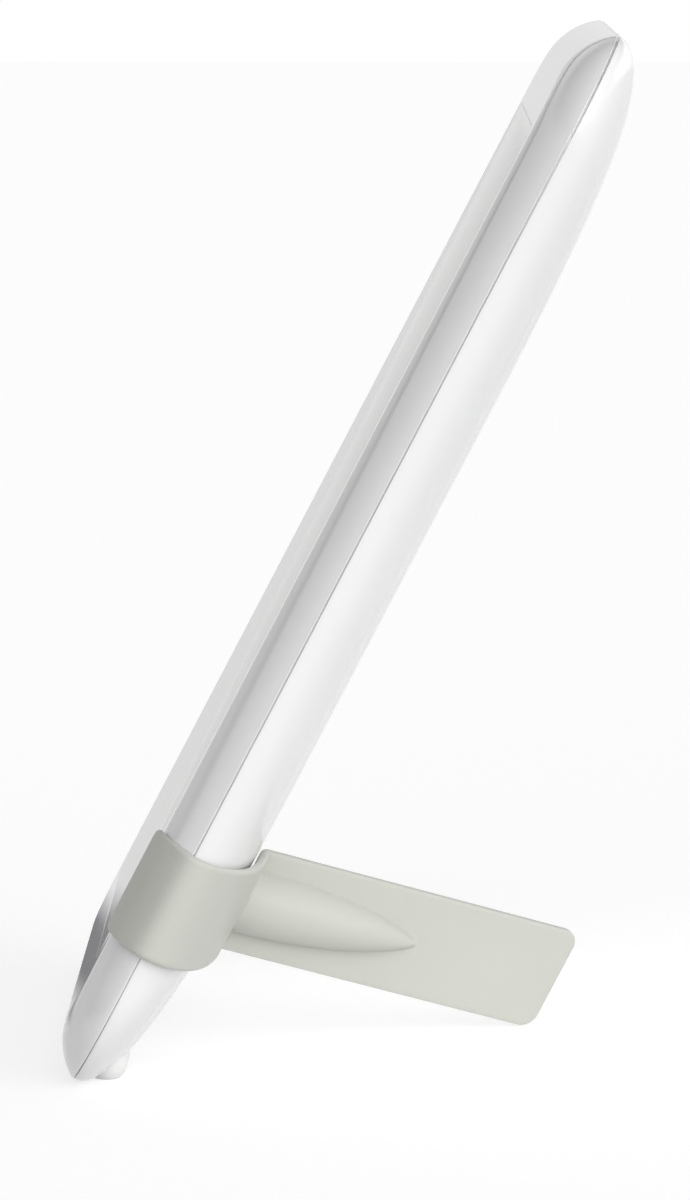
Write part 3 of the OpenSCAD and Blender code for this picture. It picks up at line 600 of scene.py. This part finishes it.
def strip_section():
    """Round the strip's section: how far up and how far in each point is, from 0 to 1, and
    the heading of its edge's rounding. Outer side, upper edge, inner side, lower edge."""
    angle = np.linspace(0, QUARTER, 8)
    up = np.linspace(0, 1, 100)
    stretches = [(up, 0, 0), (1, 0, angle[1:]), (1, 1, QUARTER + angle), (up[-2:0:-4], 1, math.pi),
                 (0, 1, math.pi + angle), (0, 0, 3 * QUARTER + angle[:-1])]
    return np.concatenate([np.stack(np.broadcast_arrays(*stretch)) for stretch in stretches], 1)


def cone_swell(flat, s):
    """How far the half cone lifts each point of the leg: sqrt(R(u)^2 - across^2) above the
    leg, with R(u) = R(1 - (u / L)^2)^p, joined in by a smooth maximum."""
    u = (flat - BEND_END) @ ALONG
    radius = CONE_R * (1 - np.clip(u / CONE_L, 0, 1) ** 2) ** CONE_POWER
    middle = CLIP_LOW + STAND_H / 2 + RISE * (BEND_R * BEND + np.maximum(u, 0))
    above = np.sqrt(np.maximum(0, radius ** 2 - (s - middle) ** 2)) - (flat - BEND_END) @ OUTWARD
    lift = 0.5 * (above + np.sqrt(above ** 2 + CONE_MELT ** 2))
    return np.where(u > CONE_FROM, lift * np.clip((above + CONE_CLEAR) / CONE_FADE, 0, 1), 0)


def strip():
    """A bar with round edges carried along the path, with the half cone on its outer side.
    Its ends are rounded too: there the section thins as a circle of the edges' radius."""
    outer, inner, run, cut = strip_path()
    length = length_along(outer)
    outer, inner = outer[:, None], inner[:, None]
    run, cut, length = run[:, None], cut[:, None], length[:, None]
    wall = np.linalg.norm(inner - outer, axis=-1)
    radius = STRIP_EDGE * wall
    to_end = np.minimum(length, length[-1] - length)
    thin = radius - np.sqrt(radius ** 2 - np.maximum(0, radius - to_end) ** 2)
    thin = np.minimum(thin, STRIP_THIN * wall)
    edge = np.minimum(radius, wall / 2 - thin)
    up, across, heading = strip_section()
    low = CLIP_LOW + RISE * run + cut + edge
    high = CLIP_LOW + RISE * run + STAND_H - cut - edge
    s = low + (high - low) * up + edge * np.sin(heading)
    depth = thin + edge + (wall - 2 * thin - 2 * edge) * across - edge * np.cos(heading)
    share = (depth / wall)[..., None]
    flat = outer * (1 - share) + inner * share
    lift = np.where(depth < CONE_SHARE * wall, cone_swell(flat, s), 0)
    flat = flat + lift[..., None] * OUTWARD
    return skin(np.stack([flat[..., 0], s, flat[..., 1]], -1))


def grip_rib():
    """A round-nosed rib from the clip's wall to the panel's back, with rounded ends."""
    roll = RIB_SHARE * ARM_ROLL
    root = section(rear_profile(roll, arm_gap(roll) + STAND_WALL / 2))
    nose = section(rear_profile(roll, CLIP_GAP))
    reach = np.linalg.norm(nose - root)
    inwards = (nose - root) / reach
    beside = np.array([-inwards[1], inwards[0]])
    half = RIB_W / 2
    u, v = np.array([(0, -half), *arc((reach - half, 0), half, -90, 90, 10), (0, half)]).T
    turn = np.linspace(-QUARTER, QUARTER, 13)[:, None]
    size = np.maximum(RIB_POINT, np.cos(turn))[..., None]
    flat = root + size * (u[:, None] * inwards + v[:, None] * beside)
    end = (STAND_H - LIP_R) / 2 - half
    s = CLIP_LOW + STAND_H / 2 + np.copysign(end, turn) + half * np.sin(turn)
    return skin(np.stack([flat[..., 0], s + 0 * u, flat[..., 1]], -1))


# ---------------------------------------------------------------- feet, button and screw wells
def foot(side):
    """A bar with ball ends, turned round its own length, and flat where it stands on the
    table: its radius is R sin(a), and its length grows by -R cos(a) past the bar's ends."""
    half = FOOT_L / 2 - FOOT_R
    polar = np.linspace(POLE, math.pi - POLE, 49)[:, None]
    angle = np.linspace(0, 2 * math.pi, ROUND_STEPS, endpoint=False)
    x = side * FOOT_X - np.sign(np.cos(polar).round(6)) * half - FOOT_R * np.cos(polar)
    radius = FOOT_R * np.sin(polar)
    points, faces = skin(np.stack([x + 0 * angle, FOOT_S + radius * np.cos(angle),
                                   FOOT_T + radius * np.sin(angle)], -1))
    placed = in_frame(points)
    placed[:, 2] = np.maximum(placed[:, 2], 0)
    return placed, faces


def button():
    """A turned cap: a dish of depth d(1 - (r / R)^2), a round rim, its flange and stem."""
    back = -(CONTROL_OUT + BUTTON_PROUD)
    flange = -(CONTROL_ROOF - BUTTON_PLAY)
    flange_r = BUTTON_R + BUTTON_FLANGE
    dish_r = BUTTON_R - BUTTON_RIM
    r = np.linspace(DISH_FROM, dish_r - DISH_SHORT, 12)
    dish = np.stack([r, back + BUTTON_DISH * (1 - (r / dish_r) ** 2)], -1)
    rim = arc((dish_r, back + BUTTON_RIM), BUTTON_RIM, -90, 0, 7)
    body = [(BUTTON_R, flange), (flange_r, flange), (flange_r, flange + BUTTON_FLANGE_H),
            (STEM_R, flange + BUTTON_FLANGE_H), (STEM_R, flange + BUTTON_FLANGE_H + STEM_L)]
    return skin(lathe(np.concatenate([dish, rim, body]), -CONTROL_X, CONTROL_S))


def screw_well(x, s):
    """The tube that a case screw sits in: wall, floor and the shank's hole. Its upper rim
    follows the middle of the shell's wall."""
    rows = lathe([(WELL_R, 0), (WELL_R, WELL_SEAT), (SCREW_R, WELL_SEAT), (SCREW_R, WELL_FRONT),
                  (WELL_OUTER_R, WELL_FRONT), (WELL_OUTER_R, 0)], x, s, WELL_STEPS)
    rim = [0, -1]
    rows[rim, :, 2] = REAR_WALL / 2 - rear_depth_at(HALF_L - np.abs(rows[rim, :, 1]))
    return skin(rows, closed=True)


def flared_hole(r, x, s):
    """A hole's cutter: straight, then a quarter round where it meets the shell's face."""
    out, t = arc((HOLE_FLARE, HOLE_FLARE - CONTROL_OUT), HOLE_FLARE, 180, 270).T
    wide = r + HOLE_FLARE + CUT_WIDER
    profile = [(r, CUT_FROM), *zip(r + out, t), (wide, -CONTROL_OUT), (wide, CUT_TO)]
    return skin(lathe(profile, x, s, 96))


def well_hole(x, s):
    """The cutter for a screw well's mouth."""
    return skin(lathe([(WELL_R, CUT_TO), (WELL_R, CUT_FROM)], x, s, WELL_STEPS))


def cut_holes(piece, parts):
    """Takes each part out of the piece and applies the result."""
    for part in parts:
        tool = make_piece("hole", part, GLOSS)
        step = piece.modifiers.new("hole", "BOOLEAN")
        step.operation, step.solver, step.object = "DIFFERENCE", "EXACT", tool
        bpy.context.view_layer.objects.active = piece
        bpy.ops.object.modifier_apply(modifier=step.name)
        bpy.data.objects.remove(tool)
    piece.data.set_sharp_from_angle(angle=SHARP_ANGLE)


# ---------------------------------------------------------------- pieces
front_piece = make_piece("front_shell_skin", front_shell(), GLOSS)
rear_piece = make_piece("rear_shell_skin", rear_shell(), GLOSS)
cut_holes(rear_piece, [*(well_hole(x, s) for x, s in WELLS),
                       flared_hole(BUTTON_R + HOLE_ROOM, -CONTROL_X, CONTROL_S),
                       flared_hole(INLET_HOLE_R, CONTROL_X, CONTROL_S)])
wells_piece = make_piece("screw_wells", joined(*(screw_well(x, s) for x, s in WELLS)), GLOSS)
screen_piece = make_piece("screen_diffuser", screen(), OPAL)
stand_piece = make_piece("clip_on_stand", joined(strip(), grip_rib()), GREIGE)
feet = [make_piece("foot_%s" % word, foot(side), SOFT_WHITE, leaned=False)
        for word, side in (("left_pad", -1), ("right_pad", 1))]
button_piece = make_piece("power_button_cap", button(), BUTTON_GREY)

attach(front_piece, "panel")
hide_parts("front_frame")
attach(rear_piece, "panel")
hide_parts("rear_shell")
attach(wells_piece, "panel")
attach(screen_piece, "panel")
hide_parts("diffuser")
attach(stand_piece, "stand")
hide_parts("stand")
for pad, node in zip(feet, ("foot_left", "foot_right")):
    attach(pad, "panel")
    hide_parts(node)
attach(button_piece, "button")
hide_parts("power_button")

# ---------------------------------------------------------------- camera
# Found by fitting the panel's shape to its outline in the photograph, for a distance of
# 1.3 m. Focal length in pixels of the 1200-pixel height.
VIEW_DISTANCE, VIEW_YAW, VIEW_PITCH = 1300.0, math.radians(0.6), math.radians(6.84)
VIEW_FOCAL_PX, FRAME_HEIGHT_PX = 6261.0, 1200.0
VIEW_SIDE_PX, VIEW_DOWN_PX = 1.0, 68.5


def add_camera():
    """Looks at the panel's middle from its +X side, with the fitted sideways offsets."""
    look = np.array([-math.cos(VIEW_PITCH) * math.cos(VIEW_YAW),
                     -math.cos(VIEW_PITCH) * math.sin(VIEW_YAW), -math.sin(VIEW_PITCH)])
    right = np.array([-math.sin(VIEW_YAW), math.cos(VIEW_YAW), 0])
    up = np.cross(right, look)
    px = VIEW_DISTANCE / VIEW_FOCAL_PX
    middle = in_frame([0, 0, 0]) * 1000
    place = middle - VIEW_DISTANCE * look - VIEW_SIDE_PX * px * right - VIEW_DOWN_PX * px * up
    data = bpy.data.cameras.new("camera")
    data.sensor_fit = "VERTICAL"
    data.sensor_height = 36
    data.lens = VIEW_FOCAL_PX / FRAME_HEIGHT_PX * data.sensor_height
    camera = bpy.data.objects.new("camera", data)
    bpy.context.scene.collection.objects.link(camera)
    matrix = np.eye(4)
    matrix[:3, 0], matrix[:3, 1], matrix[:3, 2], matrix[:3, 3] = right, up, -look, place / 1000
    camera.matrix_world = Matrix(matrix.tolist())
    bpy.context.scene.camera = camera


add_camera()

# ---------------------------------------------------------------- floor and light
# The floor. To the eye it is GLOW plus SHADE times its own light, which comes to white where
# nothing shades it and keeps the shadow soft. Its colour for the light it throws on the lamp is
# pale to the lamp's right and painted darker to its left: painted shade for the lamp's shadow.
# Its mirror image in the shells is even, but for a painted shadow, a darker patch painted
# behind the panel's foot. All in metres.
FLOOR_HALF = 6.0
# The second tone is painted shade. For the light the floor throws on the lamp, its colour darkens to that
# tone between the two places across given next, to the lamp's left.
FLOOR_TONE, LEFT_PAINTED_SHADE_TONE = "#F3F3F3", "#B0B0B0"
PAINTED_SHADE_FROM, PAINTED_SHADE_TO = -0.25, 0.0
GLOW, SHADE = 0.69, 0.50
MIRRORED = 0.86
# A painted shadow: a darker patch painted into the floor's mirror image behind the panel's foot. Given here
# are its middle and size, its tone, and where that tone is full.
PAINTED_SHADOW_MIDDLE, PAINTED_SHADOW_SIZE = (-0.12, -0.08, 0.0), (0.09, 0.10, 1.0)
PAINTED_SHADOW_TONE, PAINTED_SHADOW_FULL = "#78787C", 0.6

# Soft lights all round, as seen from the object. Each has a strength and limits on the
# direction: along this axis it fades in between these two cosines.
UP, DOWN = (0, 0, 1), (0, 0, -1)
RIGHT, FAR = (0, 1, 0), (-1, 0, 0)
LIGHTS = {
    "all_round": (0.08, []),
    "camera_and_right": (1.95, [((0.95, 0.31, 0), 0.3, 0.9)]),
    "right_above": (0.44, [((0, 0.7071, 0.7071), 0.3, 0.95)]),
    "right_low": (0.55, [(DOWN, -0.5, -0.1), (RIGHT, 0, 0.6)]),
    "far_low": (0.76, [(DOWN, -0.3, -0.2), (FAR, 0.25, 0.6)]),
    "left_strip": (0.9, [(UP, 0.298, 0.308), (DOWN, -0.6, -0.4), ((-0.5, -0.866, 0), 0.3, 0.7)]),
}


def add_floor():
    """A wide white floor that keeps the soft shadow: one look for the eye, one for mirror
    images, with a painted shadow behind the panel's foot, and a diffuse one for everything that
    it lights, with painted shade to the lamp's left."""
    mesh = bpy.data.meshes.new("floor")
    corners = [(sx * FLOOR_HALF, sy * FLOOR_HALF, 0) for sx, sy in ((-1, -1), (1, -1), (1, 1), (-1, 1))]
    mesh.from_pydata(corners, [], [(0, 1, 2, 3)])
    material = bpy.data.materials.new("white_floor_with_painted_shade")
    material.use_nodes = True
    tree = material.node_tree
    tree.nodes.clear()
    place = add(tree, "ShaderNodeTexCoord").outputs["Object"]
    # Painted shade: the diffuse floor that lights the lamp is painted darker to the lamp's left, for the
    # lamp's shadow.
    across = add(tree, "ShaderNodeSeparateXYZ", links={"Vector": place}).outputs["Y"]
    side = add(tree, "ShaderNodeMapRange", {"From Min": PAINTED_SHADE_FROM, "From Max": PAINTED_SHADE_TO},
               {"Value": across}, interpolation_type="SMOOTHSTEP")
    painted_shade_colour = add(tree, "ShaderNodeValToRGB", links={"Fac": side.outputs["Result"]},
                stops=[(0.0, LEFT_PAINTED_SHADE_TONE), (1.0, FLOOR_TONE)])
    lit = add(tree, "ShaderNodeBsdfDiffuse", links={"Color": painted_shade_colour.outputs["Color"]})
    # Painted shadow: a darker patch in the floor's mirror image, behind the panel's foot.
    laid = add(tree, "ShaderNodeMapping", {"Location": PAINTED_SHADOW_MIDDLE, "Scale": PAINTED_SHADOW_SIZE},
               {"Vector": place}, vector_type="TEXTURE")
    painted_shadow = add(tree, "ShaderNodeTexGradient", links={"Vector": laid.outputs["Vector"]},
                gradient_type="SPHERICAL")
    painted_shadow_colour = add(tree, "ShaderNodeValToRGB", links={"Fac": painted_shadow.outputs["Fac"]},
                stops=[(0.0, "#FFFFFF"), (PAINTED_SHADOW_FULL, PAINTED_SHADOW_TONE)])
    mirror_with_painted_shadow = add(tree, "ShaderNodeEmission", {"Strength": MIRRORED}, {"Color": painted_shadow_colour.outputs["Color"]})
    pale = tuple(SHADE * value for value in linear(FLOOR_TONE)[:3])
    shaded = add(tree, "ShaderNodeBsdfDiffuse", {"Color": (*pale, 1)})
    glow = add(tree, "ShaderNodeEmission", {"Color": (1, 1, 1, 1), "Strength": GLOW})
    seen = add(tree, "ShaderNodeAddShader", links={0: shaded.outputs[0], 1: glow.outputs[0]})
    ray = add(tree, "ShaderNodeLightPath")
    unseen = add(tree, "ShaderNodeMixShader", links={
        0: ray.outputs["Is Glossy Ray"], 1: lit.outputs[0], 2: mirror_with_painted_shadow.outputs[0]})
    both = add(tree, "ShaderNodeMixShader", links={
        0: ray.outputs["Is Camera Ray"], 1: unseen.outputs[0], 2: seen.outputs[0]})
    add(tree, "ShaderNodeOutputMaterial", links={"Surface": both.outputs[0]})
    mesh.materials.append(material)
    floor = bpy.data.objects.new("floor", mesh)
    bpy.context.scene.collection.objects.link(floor)


def light_from(tree, direction, strength, limits):
    """One light's strength in a direction: the product of its limits' smooth fades."""
    amount = add(tree, "ShaderNodeValue")
    amount.outputs[0].default_value = strength
    for axis, start, full in limits:
        cosine = add(tree, "ShaderNodeVectorMath", {1: axis}, {0: direction}, operation="DOT_PRODUCT")
        fade = add(tree, "ShaderNodeMapRange", {"From Min": start, "From Max": full},
                   {"Value": cosine.outputs["Value"]}, interpolation_type="SMOOTHSTEP")
        amount = add(tree, "ShaderNodeMath", links={0: amount.outputs[0], 1: fade.outputs["Result"]},
                     operation="MULTIPLY")
    return amount.outputs[0]


def add_world():
    """White to the eye; to all else the sum of the lights."""
    world = bpy.data.worlds.new("studio")
    bpy.context.scene.world = world
    world.use_nodes = True
    tree = world.node_tree
    tree.nodes.clear()
    direction = add(tree, "ShaderNodeTexCoord").outputs["Generated"]
    first, *others = [light_from(tree, direction, *light) for light in LIGHTS.values()]
    total = first
    for amount in others:
        total = add(tree, "ShaderNodeMath", links={0: total, 1: amount}, operation="ADD").outputs[0]
    lit = add(tree, "ShaderNodeBackground", {"Color": (1, 1, 1, 1)}, {"Strength": total})
    seen = add(tree, "ShaderNodeBackground", {"Color": (1, 1, 1, 1), "Strength": 1.0})
    ray = add(tree, "ShaderNodeLightPath").outputs
    clear = add(tree, "ShaderNodeMath", links={0: ray["Is Camera Ray"], 1: ray["Is Transmission Ray"]},
                operation="MAXIMUM")
    mix = add(tree, "ShaderNodeMixShader", links={
        0: clear.outputs[0], 1: lit.outputs[0], 2: seen.outputs[0]})
    add(tree, "ShaderNodeOutputWorld", links={"Surface": mix.outputs[0]})


add_floor()
add_world()
bpy.context.scene.view_settings.view_transform = "Standard"
